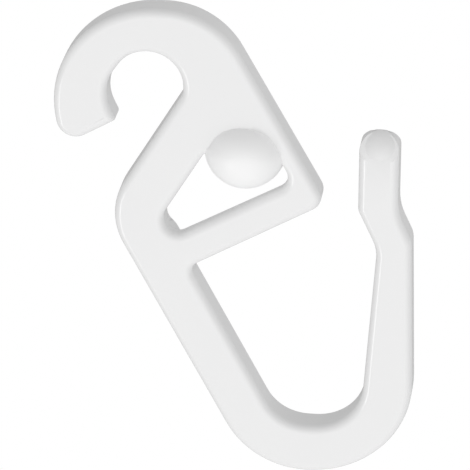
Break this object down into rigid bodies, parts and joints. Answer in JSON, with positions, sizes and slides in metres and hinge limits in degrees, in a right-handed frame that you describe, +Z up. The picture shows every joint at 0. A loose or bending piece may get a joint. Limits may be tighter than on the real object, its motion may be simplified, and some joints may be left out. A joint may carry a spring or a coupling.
{
  "type": "curtain hook",
  "caption": "One-piece moulded plastic curtain hook with an open eye, a ball over a tie bar, and a rising pin for the heading tape.",
  "frame": {"origin": "middle of the round part of the eye, halfway through the thickness", "axes": "+Z up as the hook hangs, X across the hook towards the pin, Y through the thickness with the front face looking along -Y"},
  "size_m": [0.0238, 0.0054, 0.0332],
  "materials": {
    "white_plastic": "smooth glossy white moulded plastic, faint moulding marks"
  },
  "bodies": {
    "root": {"curtain_hook": "white_plastic"}
  },
  "joints": []
}
